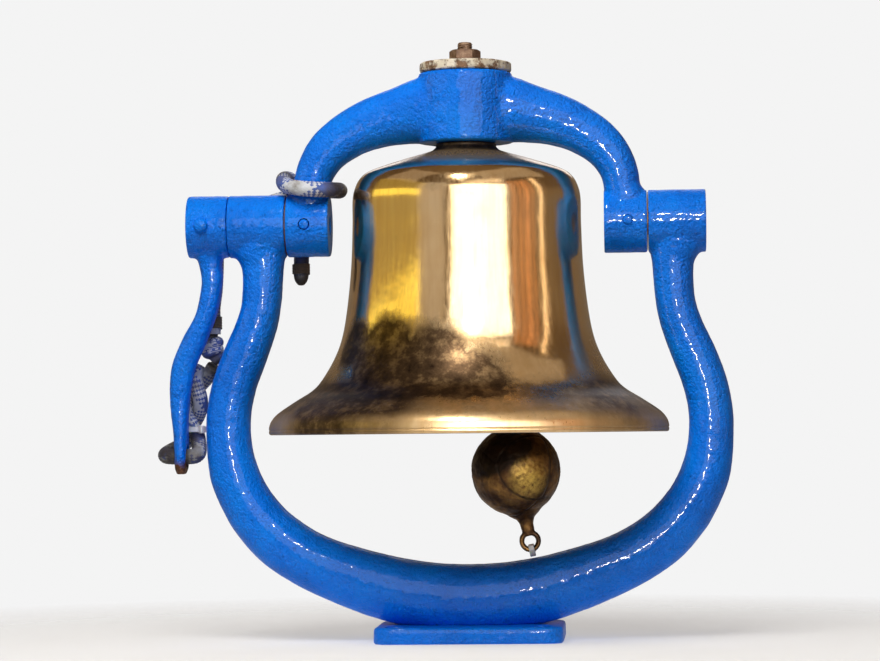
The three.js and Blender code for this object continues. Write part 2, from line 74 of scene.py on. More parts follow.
CLAPPER_TILT = math.radians(11)
ROPE_RADIUS = 6


# ---- Camera, in metres ----
EYE = Vector((0.13, -2.6, 0.165))
LOOKS_AT = Vector((-0.0224, 0, 0.2476))
ROLL = math.radians(-0.6)


def camera():
    """The eye stands a little right of the middle, below the bell's mouth, and looks slightly up."""
    data = bpy.data.cameras.new("camera")
    data.sensor_width = 36
    data.lens = 133
    eye = bpy.data.objects.new("camera", data)
    bpy.context.collection.objects.link(eye)
    eye.location = EYE
    roll = Matrix.Rotation(ROLL, 3, "Z").to_quaternion()
    eye.rotation_euler = ((LOOKS_AT - EYE).to_track_quat("-Z", "Y") @ roll).to_euler()
    bpy.context.scene.camera = eye


camera()


# ---- Shape helpers: a shell is (points, faces), points in millimetres ----
def catmull_rom(points, count):
    """A smooth curve through the points, with the same number of steps between each two."""
    points = np.asarray(points, float)
    padded = np.vstack([2 * points[0] - points[1], points, 2 * points[-1] - points[-2]])
    place = np.linspace(0, len(points) - 1, count)
    start = np.minimum(place.astype(int), len(points) - 2)
    part = (place - start)[:, None]
    before, here, there, after = (padded[start + step] for step in range(4))
    return 0.5 * (2 * here + (there - before) * part
                  + (2 * before - 5 * here + 4 * there - after) * part ** 2
                  + (3 * here - before - 3 * there + after) * part ** 3)


def evenly(points, step):
    """The curve through the points, resampled at an even distance."""
    dense = catmull_rom(points, 24 * len(points))
    along = np.concatenate([[0], np.cumsum(np.linalg.norm(np.diff(dense, axis=0), axis=1))])
    wanted = np.linspace(0, along[-1], max(2, round(along[-1] / step)) + 1)
    return np.stack([np.interp(wanted, along, dense[:, axis]) for axis in range(3)], axis=1)


def circle(sides):
    """The directions of evenly spaced points round a circle."""
    return np.linspace(0, 2 * math.pi, sides, endpoint=False)


def ring_at(reach, angles, heights, centre=(0, 0)):
    """Points round an upright line. Reach and heights are one number, or one for each point."""
    x = centre[0] + reach * np.cos(angles)
    y = centre[1] + reach * np.sin(angles)
    return np.stack([x, y, np.broadcast_to(heights, x.shape)], axis=1)


def skin(rings, closed=False):
    """A shell over a row of rings of points, with its ends capped, or joined when closed."""
    rings = np.asarray(rings, float)
    rows, sides = rings.shape[:2]
    row = np.arange(rows if closed else rows - 1)[:, None]
    side = np.arange(sides)[None, :]
    turn = (side + 1) % sides
    below = row * sides
    above = ((row + 1) % rows) * sides
    faces = np.stack([below + side, below + turn, above + turn, above + side], axis=-1)
    faces = faces.reshape(-1, 4).tolist()
    if not closed:
        faces.append(list(range(sides))[::-1])
        faces.append(list(range((rows - 1) * sides, rows * sides)))
    return rings.reshape(-1, 3), faces


def lathe(profile, segments, wobble=None):
    """A shell turned about +Z from [radius, height] pairs, closed at poles or back on itself."""
    angles = circle(segments)
    open_ends = profile[0][0] < 1e-6
    inner = profile[1:-1] if open_ends else profile
    rings = []
    for radius, height in inner:
        reach = radius + (wobble(angles, height) if wobble else 0)
        rings.append(ring_at(reach, angles, height))
    points, faces = skin(rings, closed=not open_ends)
    if not open_ends:
        return points, faces
    faces = faces[:-2]
    poles = len(points)
    points = np.vstack([points, [0, 0, profile[0][1]], [0, 0, profile[-1][1]]])
    last = (len(inner) - 1) * segments
    for side in range(segments):
        turn = (side + 1) % segments
        faces.append([poles, turn, side])
        faces.append([poles + 1, last + side, last + turn])
    return points, faces


def bar(radius, low, high, segments=64, edge=1.0):
    """A round bar with rounded edges."""
    arc = [math.radians(step * 22.5) for step in range(5)]
    foot = [(radius - edge + edge * math.sin(a), low + edge - edge * math.cos(a)) for a in arc]
    head = [(radius - edge + edge * math.cos(a), high - edge + edge * math.sin(a)) for a in arc]
    return lathe([(0, low), *foot, *head, (0, high)], segments)


def broken_corners(left, right, low, high, edge):
    """The outline of a rectangle with its corners cut off, from the lower left."""
    return [(left + edge, low), (right - edge, low), (right, low + edge), (right, high - edge),
            (right - edge, high), (left + edge, high), (left, high - edge), (left, low + edge)]


def placed(shell, matrix):
    points, faces = shell
    turned = np.asarray(matrix)[:3, :3]
    return points @ turned.T + np.asarray(matrix)[:3, 3], faces


def moved(shell, x, y, z, turn=0.0):
    """The shell turned about the upright through its origin, then moved."""
    return placed(shell, Matrix.Translation((x, y, z)) @ Matrix.Rotation(turn, 4, "Z"))


ALONG_X = Matrix.Translation((0, 0, AXIS_Z)) @ Matrix.Rotation(math.pi / 2, 4, "Y")
HALF_TURN = Matrix.Rotation(math.pi, 4, "Z")
IN_CLAPPER = Matrix.Translation((0, 0, PIVOT_Z)) @ Matrix.Rotation(-CLAPPER_TILT, 4, "Y")


def along_y(x, z):
    """Lays a shell made about +Z along -Y, through (x, z)."""
    return Matrix.Translation((x, 0, z)) @ Matrix.Rotation(math.pi / 2, 4, "X")


def cross_bar(radius, low, high, x, z, segments=48, edge=0.3):
    """A round bar that runs front to back, through (x, z)."""
    return placed(bar(radius, low, high, segments, edge), along_y(x, z))


def frames(path, closed=False):
    """Tangent and two normals at each point, carried along the path without twisting."""
    ahead = np.roll(path, -1, axis=0) - np.roll(path, 1, axis=0)
    if not closed:
        ahead[0] = path[1] - path[0]
        ahead[-1] = path[-1] - path[-2]
    ahead /= np.linalg.norm(ahead, axis=1)[:, None]
    start = np.eye(3)[2 if abs(ahead[0][2]) < 0.8 else 0]
    across = np.empty_like(path)
    for i, tangent in enumerate(ahead):
        start = start - tangent * start.dot(tangent)
        start = start / np.linalg.norm(start)
        across[i] = start
    return ahead, across, np.cross(ahead, across)


def tube(path, radius, sides):
    """A shell round a path. radius is a number, or one for each point of each ring."""
    _, across, up = frames(path)
    angle = circle(sides)
    reach = np.broadcast_to(radius, (len(path), sides))
    rings = (path[:, None, :]
             + (reach * np.cos(angle))[:, :, None] * across[:, None, :]
             + (reach * np.sin(angle))[:, :, None] * up[:, None, :])
    return skin(rings)


def joined(*shells):
    points, faces, count = [], [], 0
    for shell_points, shell_faces in shells:
        points.append(shell_points)
        faces += [[corner + count for corner in face] for face in shell_faces]
        count += len(shell_points)
    return np.vstack(points), faces


def piece_from(name, shell):
    """A Blender object from a shell, its faces pointing out."""
    points, faces = shell
    mesh = bpy.data.meshes.new(name)
    mesh.from_pydata((np.asarray(points) * MM).tolist(), [], faces)
    work = bmesh.new()
    work.from_mesh(mesh)
    bmesh.ops.recalc_face_normals(work, faces=work.faces)
    work.to_mesh(mesh)
    work.free()
    made = bpy.data.objects.new(name, mesh)
    bpy.context.collection.objects.link(made)
    return made


def apply_modifiers(piece):
    """Makes the piece's modifiers permanent in its mesh."""
    evaluated = piece.evaluated_get(bpy.context.evaluated_depsgraph_get())
    mesh = bpy.data.meshes.new_from_object(evaluated)
    piece.modifiers.clear()
    piece.data = mesh


def grown(name, voxel, rounds, *shells):
    """A piece with one even skin over all of its shells, its inner corners softened."""
    piece = piece_from(name, joined(*shells))
    skinned = piece.modifiers.new("skin", "REMESH")
    skinned.mode = "VOXEL"
    skinned.voxel_size = voxel * MM
    soft = piece.modifiers.new("soft", "SMOOTH")
    soft.factor = 0.5
    soft.iterations = rounds
    apply_modifiers(piece)
    return piece


def roughen(piece, *layers):
    """Raises and sinks the surface in soft lumps. A layer is (size, height)."""
    for size, height in layers:
        lumps = bpy.data.textures.new(piece.name + "_lumps", "CLOUDS")
        lumps.noise_scale = size * MM
        lumps.noise_depth = 2
        swell = piece.modifiers.new("lumps", "DISPLACE")
        swell.texture = lumps
        swell.strength = height * MM
        apply_modifiers(piece)


def cut(piece, *shells):
    """Takes the shells out of the piece."""
    for shell in shells:
        tool = piece_from("cutter", shell)
        bite = piece.modifiers.new("cut", "BOOLEAN")
        bite.operation = "DIFFERENCE"
        bite.solver = "MANIFOLD"
        bite.object = tool
        apply_modifiers(piece)
        bpy.data.objects.remove(tool)


def coordinates(piece):
    """The piece's points, in millimetres."""
    points = np.empty(len(piece.data.vertices) * 3)
    piece.data.vertices.foreach_get("co", points)
    return points.reshape(-1, 3) / MM


def set_coordinates(piece, points):
    piece.data.vertices.foreach_set("co", (points * MM).ravel())
    piece.data.update()


def set_heights(piece, change):
    """Gives the piece's points new heights, from their x, y and z."""
    points = coordinates(piece)
    points[:, 2] = change(*points.T)
    set_coordinates(piece, points)


def finish_piece(piece, body, look, *nodes, sharp=40):
    """Shades the piece, gives it its look and puts it on its body in place of its CAD nodes."""
    piece.data.shade_smooth()
    piece.data.set_sharp_from_angle(angle=math.radians(sharp))
    piece.data.materials.clear()
    piece.data.materials.append(LOOKS[look])
    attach(piece, body)
    if nodes:
        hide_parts(*nodes)


def finished(name, shell, body, look, *nodes, sharp=40):
    """A shell that needs no more shaping, made into a piece and finished."""
    piece = piece_from(name, shell)
    finish_piece(piece, body, look, *nodes, sharp=sharp)
    return piece


# ---- Materials ----
def rgb(red, green, blue):
    """A screen colour, 0 to 255, as the linear colour that shaders take."""
    def linear(value):
        value = value / 255
        return value / 12.92 if value <= 0.04045 else ((value + 0.055) / 1.055) ** 2.4
    return (linear(red), linear(green), linear(blue), 1)


def set_ramp(node, stops):
    """Gives a colour ramp its stops, each (place, red, green, blue)."""
    line = node.color_ramp.elements
    while len(line) < len(stops):
        line.new(0.5)
    for stop, (place, *colour) in zip(line, stops):
        stop.position = place
        stop.color = rgb(*colour)


LOOKS = {}  # every finished material, by name


class Nodes:
    """A tree of shader nodes."""

    def __init__(self, tree):
        self.tree = tree

    def put(self, socket, value):
        if isinstance(value, bpy.types.NodeSocket):
            self.tree.links.new(value, socket)
        else:
            socket.default_value = value

    def node(self, kind, **values):
        """A new node with its properties and inputs set."""
        made = self.tree.nodes.new("ShaderNode" + kind)
        for name, value in values.items():
            if hasattr(made, name):
                setattr(made, name, value)
            else:
                self.put(made.inputs[name.replace("_", " ")], value)
        return made


class Recipe(Nodes):
    """A material. Most calls add one node and give back its output."""

    def __init__(self, name, **surface):
        LOOKS[name] = bpy.data.materials.new(name)
        LOOKS[name].use_nodes = True
        super().__init__(LOOKS[name].node_tree)
        self.surface = self.tree.nodes["Principled BSDF"]
        self.where = self.node("TexCoord").outputs["Object"]
        self.set(**surface)

    def set(self, **values):
        """Sets inputs of the surface shader."""
        for name, value in values.items():
            self.put(self.surface.inputs[name.replace("_", " ")], value)

    def stretched(self, x, y, z):
        return self.node("Mapping", Vector=self.where, Scale=(x, y, z)).outputs[0]

    def noise(self, scale, detail=4.0, rough=0.55, vector=None):
        return self.node("TexNoise", Vector=vector or self.where, Scale=scale, Detail=detail,
                         Roughness=rough).outputs[0]

    def range(self, value, low, high, to_low=0.0, to_high=1.0):
        return self.node("MapRange", Value=value, From_Min=low, From_Max=high, To_Min=to_low,
                         To_Max=to_high).outputs[0]

    def spread(self, noise, low, high):
        """The usual values of a noise, 0.3 to 0.7, spread from low to high."""
        return self.range(noise, 0.3, 0.7, low, high)

    def math(self, operation, first, second):
        made = self.node("Math", operation=operation)
        self.put(made.inputs[0], first)
        self.put(made.inputs[1], second)
        return made.outputs[0]

    plus = partialmethod(math, "ADD")
    times = partialmethod(math, "MULTIPLY")
    larger = partialmethod(math, "MAXIMUM")

    def mix(self, share, first, second):
        return self.node("MixRGB", Fac=share, Color1=first, Color2=second).outputs[0]

    def ramp(self, value, *stops):
        made = self.node("ValToRGB", Fac=value)
        set_ramp(made, stops)
        return made.outputs[0]

    def axis(self, name):
        """One coordinate, in metres."""
        return self.node("SeparateXYZ", Vector=self.where).outputs[name]

    def away(self, x, y, z):
        """The distance from a point given in millimetres, in metres."""
        made = self.node("VectorMath", operation="DISTANCE")
        self.put(made.inputs[0], self.where)
        made.inputs[1].default_value = (x * MM, y * MM, z * MM)
        return made.outputs["Value"]

    def near(self, x, y, z, core, edge):
        """1 inside core millimetres of a point, falling to 0 at edge."""
        return self.range(self.away(x, y, z), core * MM, edge * MM, 1.0, 0.0)

    def finish(self, colour, rough, *layers, **more):
        """Sets the surface, and bump layers of (height, depth in millimetres) one on another."""
        self.set(Base_Color=colour, Roughness=rough, **more)
        normal = None
        for height, depth in layers:
            made = self.node("Bump", Strength=1.0, Distance=depth * MM, Height=height)
            if normal:
                self.put(made.inputs["Normal"], normal)
            normal = made.outputs[0]
        self.set(Normal=normal)


def blue_enamel(name, rust=None):
    """Thick glossy paint brushed over a rough casting."""
    look = Recipe(name, Coat_Weight=0.3, Coat_Roughness=0.06, Coat_IOR=1.5, Specular_IOR_Level=0.06)
    cloud = look.noise(26, 5)
    streak = look.noise(90, 3, vector=look.stretched(1, 1, 0.35))
    colour = look.ramp(cloud, (0.3, 0, 108, 224), (0.5, 0, 122, 246), (0.72, 0, 134, 255))
    colour = look.mix(look.range(streak, 0.35, 0.7, 0.0, 0.3), colour, rgb(0, 108, 236))
    pits = look.range(look.noise(260, 3), 0.6, 0.78)
    colour = look.mix(look.times(pits, 0.5), colour, rgb(0, 56, 150))
    rough = look.spread(look.noise(60, 4), 0.35, 0.55)
    if rust:
        colour, rough = rust(look, colour, rough)
    look.finish(colour, rough, (look.noise(60, 2), 1.2), (look.noise(170, 2), 1.3),
                (look.noise(430, 2), 1.9))


def rusty_tip(look, colour, rough):
    """Bare rusty iron below the crank's eye, where the rope has rubbed the paint off."""
    height = look.plus(look.axis("Z"), look.range(look.noise(120, 5), 0.0, 1.0, -0.012, 0.012))
    bare = look.range(height, 0.142, 0.150, 1.0, 0.0)
    iron = look.ramp(look.noise(240, 6), (0.3, 44, 24, 16), (0.55, 98, 62, 38), (0.8, 140, 98, 66))
    return look.mix(bare, colour, iron), look.larger(rough, look.times(bare, 0.75))


def bell_bronze():
    """Polished bell metal: fine upright polishing marks, brown clouds of tarnish, painted dark reflections
    and painted edge shade.
    """
    look = Recipe("bell_bronze", Metallic=1.0)
    height = look.axis("Z")
    streak = look.noise(150, 5, 0.65, vector=look.stretched(1, 1, 0.045))
    fine = look.noise(620, 3, 0.7, vector=look.stretched(1, 1, 0.03))
    cloud = look.noise(16, 7, 0.62)
    mottle = look.noise(70, 6, 0.7)
    gold = look.ramp(cloud, (0.25, 226, 188, 134), (0.5, 238, 204, 154), (0.75, 234, 204, 162))
    gold = look.mix(look.range(streak, 0.35, 0.7, 0.0, 0.4), gold, rgb(210, 164, 98))
    # Painted dark reflections: patches on the front of the waist and bow, their edges made ragged by the
    # mottle.
    painted_reflection_patch = look.near(-22, -103, 219, 18, 44)
    for spot in ((-60, -84, 229, 18, 38), (-84, -55, 236, 8, 28), (8, -112, 207, 10, 40)):
        painted_reflection_patch = look.larger(painted_reflection_patch, look.near(*spot))
    ragged_reflection_patch = look.plus(painted_reflection_patch, look.spread(mottle, -0.22, 0.22))
    tarnish_and_painted_reflection = look.plus(look.range(cloud, 0.5, 0.8, 0.0, 0.3), look.range(ragged_reflection_patch, 0.08, 0.75, 0.0, 0.95))
    # Painted dark reflections of the ceiling: two bands round the bow.
    painted_reflection_bands = ((0.176, 0.184, 0.196, 0.206, 0.1, 0.45), (0.190, 0.197, 0.204, 0.214, 0.15, 0.5))
    for low, full, fading, gone, least, most in painted_reflection_bands:
        band = look.times(look.range(height, low, full), look.range(height, gone, fading))
        tarnish_and_painted_reflection = look.plus(tarnish_and_painted_reflection, look.times(band, look.spread(mottle, least, most)))
    # A painted dark reflection on the front of the bow's left side.
    tarnish_and_painted_reflection = look.plus(tarnish_and_painted_reflection, look.times(look.near(-84, -126, 184, 40, 76), 0.6))
    behind = look.larger(look.near(70, 90, 232, 10, 80), look.near(-60, 100, 206, 10, 70))
    tarnish_and_painted_reflection = look.plus(tarnish_and_painted_reflection, look.times(behind, look.spread(mottle, 0.0, 0.6)))
    # Painted shade on the bell's left and right edges as seen from the front: tarnish colour there.
    across = look.axis("X")
    side = look.plus(look.range(across, 0.078, 0.104, 0.0, 0.45),
                     look.range(across, -0.088, -0.108, 0.0, 0.4))
    tarnish_and_painted_reflection = look.plus(tarnish_and_painted_reflection, side)
    crown = look.range(height, 0.377, 0.386, 0.0, 0.5)
    neck = look.range(height, 0.389, 0.393, 0.0, 0.4)
    tarnish_and_painted_reflection = look.larger(tarnish_and_painted_reflection, look.plus(crown, neck))
    # The dark colour of the tarnish, also used for the painted dark reflections and edge shade.
    tarnish = look.ramp(mottle, (0.3, 36, 26, 19), (0.5, 80, 62, 44), (0.7, 146, 120, 86))
    share = look.range(tarnish_and_painted_reflection, 0.12, 0.8)
    rough = look.spread(fine, 0.09, 0.21)
    rough = look.plus(rough, look.times(share, 0.22))
    rough = look.plus(rough, look.range(height, 0.186, 0.194, 0.17, 0.0))
    # Less metallic on the crown and neck, and at the left and right edges as part of the painted shade
    # there.
    dull = look.range(look.plus(look.plus(crown, neck), side), 0.0, 0.9, 1.0, 0.5)
    look.finish(look.mix(share, gold, tarnish), rough, (look.noise(22, 3), 0.4), (streak, 0.05),
                (fine, 0.008), Metallic=dull)


def dark_bronze():
    """Blackened bronze with handled gold showing through, cracked and pitted, with painted shade on its
    upper front.
    """
    look = Recipe("dark_bronze", Metallic=0.75)
    mottle = look.noise(55, 8, 0.65)
    fine = look.noise(300, 5, 0.7)
    lumps = look.stretched(1, 1.3, 0.6)
    net = look.node("TexVoronoi", feature="DISTANCE_TO_EDGE", Scale=19, Vector=lumps)
    crack = look.range(net.outputs["Distance"], 0.0, 0.03)
    colour = look.ramp(mottle, (0.28, 36, 22, 13), (0.47, 84, 56, 29), (0.62, 134, 97, 48),
                       (0.8, 172, 136, 74))
    # Painted shade: the ball's upper front darkened inside the bell's mouth.
    painted_shade = look.plus(look.near(22, -22, 160, 24, 36), look.spread(mottle, -0.35, 0.25))
    painted_shade = look.range(painted_shade, 0.3, 0.6)
    colour = look.mix(look.times(painted_shade, 0.9), colour, rgb(22, 13, 8))
    rubbed = look.times(look.near(50, -33, 128, 4, 20), look.range(fine, 0.3, 0.6))
    colour = look.mix(look.times(rubbed, 0.8), colour, rgb(214, 178, 84))
    deep = look.math("SUBTRACT", 1.0, crack)
    colour = look.mix(look.times(deep, 0.75), colour, rgb(24, 14, 8))
    look.finish(colour, look.spread(fine, 0.3, 0.5), (crack, 0.35), (mottle, 0.5), (fine, 0.12))


def rusty_iron():
    """Brown iron, rusted and handled."""
    look = Recipe("rusty_iron", Metallic=0.45)
    mottle = look.noise(150, 8, 0.7)
    colour = look.ramp(mottle, (0.3, 58, 40, 30), (0.5, 112, 84, 64), (0.72, 168, 142, 118))
    look.finish(colour, look.spread(mottle, 0.45, 0.75), (mottle, 0.5), (look.noise(700, 3), 0.1))


def worn_plate():
    """Old cream paint worn off rusty steel."""
    look = Recipe("worn_plate")
    chip = look.noise(95, 8, 0.68)
    bare = look.range(chip, 0.47, 0.55)
    cream = look.ramp(look.noise(60, 5), (0.3, 196, 184, 160), (0.6, 226, 218, 200))
    rust = look.ramp(look.noise(260, 6), (0.3, 64, 42, 30), (0.6, 134, 102, 74), (0.8, 170, 140, 108))
    look.finish(look.mix(bare, cream, rust), look.range(bare, 0.0, 1.0, 0.42, 0.68),
                (look.math("SUBTRACT", 1.0, bare), 0.35), (look.noise(320, 4), 0.2),
                Metallic=look.times(bare, 0.35))


def plain_metal(name, colour, dark, roughness):
    """Machined metal with fine marks and a little grime."""
    look = Recipe(name, Metallic=1.0)
    grime = look.noise(80, 6)
    base = look.mix(look.range(grime, 0.45, 0.75, 0.0, 0.7), colour, dark)
    look.finish(base, look.spread(grime, roughness, roughness + 0.25), (look.noise(900, 2), 0.03),
                (grime, 0.1))


def rope_fibre():
    """Braided filament: the strands' colours lie on the mesh, the fibres, dirt and darker spots are added
    here.
    """
    look = Recipe("braided_rope", Sheen_Weight=0.12, Sheen_Roughness=0.4)
    strands = look.node("VertexColor", layer_name="weave").outputs["Color"]
    fibre = look.noise(1500, 3, 0.7)
    soil = look.noise(70, 6, 0.6)
    colour = look.mix(look.range(fibre, 0.3, 0.75, 0.0, 0.14), strands, rgb(236, 240, 244))
    colour = look.mix(look.range(soil, 0.42, 0.7, 0.0, 0.8), colour, rgb(96, 80, 62))
    # Darker at five listed spots: round the crank's eye, at the right end of the turn round the yoke's arm,
    # at the tail below the yoke's boss, below the knot and on top of the turn.
    for spot in ((-240, 6, 148, 18, 32), (-102, -8, 360, 14, 24), (-137, 33, 288, 12, 34),
                 (-204, 20, 219, 6, 16), (-150, 10, 372, 2, 18)):
        dark_spot = look.times(look.near(*spot), look.range(soil, 0.25, 0.5, 0.3, 1.0))
        colour = look.mix(look.times(dark_spot, 0.92), colour, rgb(34, 24, 18))
    look.finish(colour, 0.72, (fibre, 0.14))


def twine_fibre():
    """Tarred twine."""
    look = Recipe("twine", Sheen_Weight=0.2)
    fibre = look.noise(1300, 4, 0.7)
    colour = look.ramp(fibre, (0.3, 54, 42, 32), (0.6, 104, 86, 66), (0.8, 160, 140, 114))
    look.finish(colour, 0.85, (fibre, 0.2))


def white_nylon():
    """The cable ties' nylon, a little soiled."""
    look = Recipe("white_nylon", Subsurface_Weight=0.15, Subsurface_Scale=0.002)
    soil = look.range(look.noise(130, 5), 0.5, 0.8, 0.0, 0.35)
    look.finish(look.mix(soil, rgb(214, 219, 226), rgb(160, 150, 136)), 0.42, (look.noise(500, 2), 0.04))


blue_enamel("blue_paint")
blue_enamel("blue_paint_worn", rusty_tip)
bell_bronze()
dark_bronze()
rusty_iron()
worn_plate()
plain_metal("plain_steel", rgb(176, 174, 170), rgb(84, 74, 64), 0.25)
plain_metal("bearing_bronze", rgb(110, 82, 48), rgb(34, 26, 18), 0.45)
rope_fibre()
twine_fibre()
white_nylon()


# ---- Rope: the same routes as its solids in the frame ----
ROPE_RUN = [
    [-208, 21.5, 247.5], [-208, 21.5, 258], [-208, 21.5, 269], [-206.5, 24, 283], [-206, 27.5, 298],
    [-206, 31, 313], [-205, 33.6, 328], [-201, 33.8, 340], [-192, 31.6, 348.5], [-179, 30.6, 351],
    [-165, 31.6, 353.5], [-150, 33, 358], [-136, 31.6, 362], [-122, 27.6, 363.5], [-109.5, 20, 362.5],
    [-103, 8, 361.5], [-102.6, -7, 361], [-109, -20, 360.5], [-121, -27.4, 360.5], [-134, -24.8, 362],
    [-143.6, -14, 365], [-147.4, 1, 369], [-148, 17, 372.5], [-145, 32, 372.6], [-140.5, 42.6, 366.5],
    [-138, 47.6, 355], [-137, 47, 341], [-137, 42.4, 326], [-137, 37, 311], [-137, 33, 297.5],
    [-137, 31.4, 287],
]
BIGHT_AXIS = [
    [-214, 22.4, 221], [-218.4, 23, 213], [-221.4, 24, 205.5], [-223.8, 24, 197.5],
    [-225.4, 24, 190], [-226.2, 24, 182.5], [-226.4, 24, 175], [-226.4, 24, 167.5],
]
STRAND_OFFSET = ROPE_RADIUS + 0.3
BIGHT_TURN = math.radians(315)
BIGHT_THROUGH_EYE = [
    [-219.6, 15.8, 158.8], [-218.6, 7.4, 152], [-220.6, 1.6, 149.2], [-226, 0, 148.6],
    [-231.6, 0, 148.6], [-238.4, 0.4, 148.6], [-243.8, 4, 149], [-246, 11, 150.2],
    [-243.8, 19, 152.6], [-237.8, 25.4, 156.2], [-231.6, 28.2, 160.8],
]
KNOT = (-208.6, 21.3, 236)
BRAID_STRANDS = 16  # each way round
BRAID_PICK = 3.0  # along the rope, from one crossing to the next
ROPE_BLUE = rgb(12, 74, 170)
ROPE_WHITE = rgb(206, 212, 222)


def strand(side):
    """One of the two legs of the bight, laid round the other."""
    route = []
    for i, (x, y, z) in enumerate(BIGHT_AXIS):
        angle = side * math.pi + BIGHT_TURN * i / (len(BIGHT_AXIS) - 1)
        route.append([x + STRAND_OFFSET * math.cos(angle), y + STRAND_OFFSET * math.sin(angle), z])
    return route


ROPE_BIGHT = strand(0) + BIGHT_THROUGH_EYE + strand(1)[::-1]


def braid(around, along):
    """How high the braid stands, 0 to 1, and whether its top strand is blue."""
    one = BRAID_STRANDS * around + along / BRAID_PICK
    other = BRAID_STRANDS * around - along / BRAID_PICK
    over = (np.floor(one) + np.floor(other)) % 2 < 1
    one_rise = np.cos(math.pi * (one % 1 - 0.5))
    other_rise = np.cos(math.pi * (other % 1 - 0.5))
    rise = np.where(over, one_rise * (0.7 + 0.3 * other_rise), other_rise * (0.7 + 0.3 * one_rise))
    number = np.where(over, np.floor(one), np.floor(other)) % BRAID_STRANDS
    return rise, number < BRAID_STRANDS / 2


def braided(name, node, route, radius, sides=64, sealed=0.0):
    """A braided rope along its route. The last sealed millimetres taper into a melted dark end."""
    step = 0.7
    path = evenly(route, step)
    along = np.arange(len(path))[:, None] * step * np.ones((1, sides))
    around = np.arange(sides)[None, :] / sides * np.ones((len(path), 1))
    rise, _ = braid(around, along)
    to_end = along[-1, 0] - along
    end_share = np.clip(1 - to_end / sealed, 0, 1) if sealed else np.zeros_like(along)
    reach = radius - 0.45 + 0.75 * rise * (1 - end_share) - 3.2 * end_share ** 3
    piece = piece_from(name, tube(path, reach, sides))
    _, blue = braid((around + 0.5 / sides) % 1, along + step / 2)
    rows = len(path) - 1
    colours = np.where(blue[:rows, :, None], ROPE_BLUE, ROPE_WHITE)
    dark = np.array(rgb(38, 32, 30))
    colours = colours + (dark - colours) * np.clip(end_share[:rows, :, None] * 1.6, 0, 1)
    loops = np.tile(np.array(dark), (len(piece.data.loops), 1))
    count = rows * sides * 4
    loops[:count] = np.repeat(colours.reshape(-1, 4), 4, axis=0)
    weave = piece.data.color_attributes.new("weave", "FLOAT_COLOR", "CORNER")
    weave.data.foreach_set("color", loops.ravel().astype(np.float32))
    finish_piece(piece, "yoke", "braided_rope", node, sharp=180)
    return piece


def helix(centre, radius, low, high, pitch, per_turn=40):
    """Points that climb round an upright line."""
    turns = (high - low) / pitch
    angles = np.linspace(0, 2 * math.pi * turns, round(per_turn * turns))
    return ring_at(radius, angles, np.linspace(low, high, len(angles)), centre)


def knot_route():
    """Tightened turns round the standing part, the ends tucked in at top and bottom."""
    x, y, z = KNOT
    turns = helix((x, y), 4.6, z - 6.4, z + 6.4, 5.6, 14)
    return [[x, y, z - 11], *turns.tolist(), [x, y, z + 11]]


def whipped(name, centre, radius, low, high, *nodes):
    """Close turns of twine round a rope."""
    turns = tube(helix(centre, radius, low, high, 1.3), 0.75, 10)
    return finished(name, turns, "yoke", "twine", *nodes, sharp=180)


def rope_pieces():
    """The rope in its three parts, with what is bound round them."""
    run = braided("rope_run_braid", "rope_run", ROPE_RUN, ROPE_RADIUS, sealed=9)
    bight = braided("rope_bight_braid", "rope_bight", ROPE_BIGHT, ROPE_RADIUS)
    knot = braided("rope_knot_turns", "rope_knot", knot_route(), 4.4, sides=40)
    start = whipped("rope_whipping_turns", ROPE_RUN[0][:2], ROPE_RADIUS + 0.7, 252, 262, "rope_whipping")
    x, y, z = ROPE_RUN[-1]
    end = whipped("rope_tail_whipping", (x, y + 1.1), ROPE_RADIUS + 0.6, z + 9, z + 17)
    tie = finished("rope_cable_tie_strap", cable_tie(), "yoke", "white_nylon", "rope_cable_tie", sharp=30)


def strap(path, width, thickness):
    """A flat closed strap that follows a path in a plane, its width square to that plane."""
    path = np.asarray(path, float)
    ahead, _, _ = frames(path, closed=True)
    plane = np.cross(path[1] - path[0], path[len(path) // 3] - path[0])
    wide = plane / np.linalg.norm(plane)
    section = broken_corners(-width / 2, width / 2, -thickness / 2, thickness / 2, 0.3)
    rings = []
    for point, tangent in zip(path, ahead):
        out = np.cross(tangent, wide)
        rings.append([point + across * wide + up * out for across, up in section])
    return skin(rings, closed=True)


def block(x, y, z, edge=0.5):
    """A box with broken edges, centred on the origin."""
    rings = []
    for height, inset in ((-z / 2, edge), (-z / 2 + edge, 0), (z / 2 - edge, 0), (z / 2, edge)):
        a, b = x / 2 - inset, y / 2 - inset
        rings.append([(u, v, height) for u, v in broken_corners(-a, a, -b, b, edge)])
    return skin(rings)


def cable_tie():
    """The tie that binds the bight's legs: a strap, its square head and the trimmed tail."""
    x, y = BIGHT_AXIS[-1][:2]
    z = 170.4
    band = strap(ring_at(13.4, circle(72), z, (x, y)), 4.6, 1.2)
    head = moved(block(5.2, 4.4, 6.4), x + 9.6, y - 12.4, z, turn=-0.7)
    tail = moved(block(9, 1.1, 4.2, 0.3), x + 3.2, y - 15.6, z, turn=-0.12)
    return joined(band, head, tail)


rope_pieces()


# ---- Castings ----
SQUARENESS = 2.3  # of the bars' sections: 2 would be an ellipse
VOXEL = 1.1
FOOT_HALF_X = 75
FOOT_HALF_Y = 55
FOOT_CORNER = 14
FOOT_TOP = 13
BOLT_X = 57
BOLT_Y = 40
BOLT_HOLE_RADIUS = 5.5
SPOT_FACE_RADIUS = 9.5
HUB_HIGH = 454
SAND_LUMPS = (14, 0.5)
SAND_GRAIN = (4, 0.26)
CRANK_EYE = (-231.6, 0, 148.6)
CLAPPER_BOLT_BORE = 17.3
SCREW_HOLE_RADIUS = 4.4
SMALL_BORE_RADIUS = 5.3  # for the clapper's pin


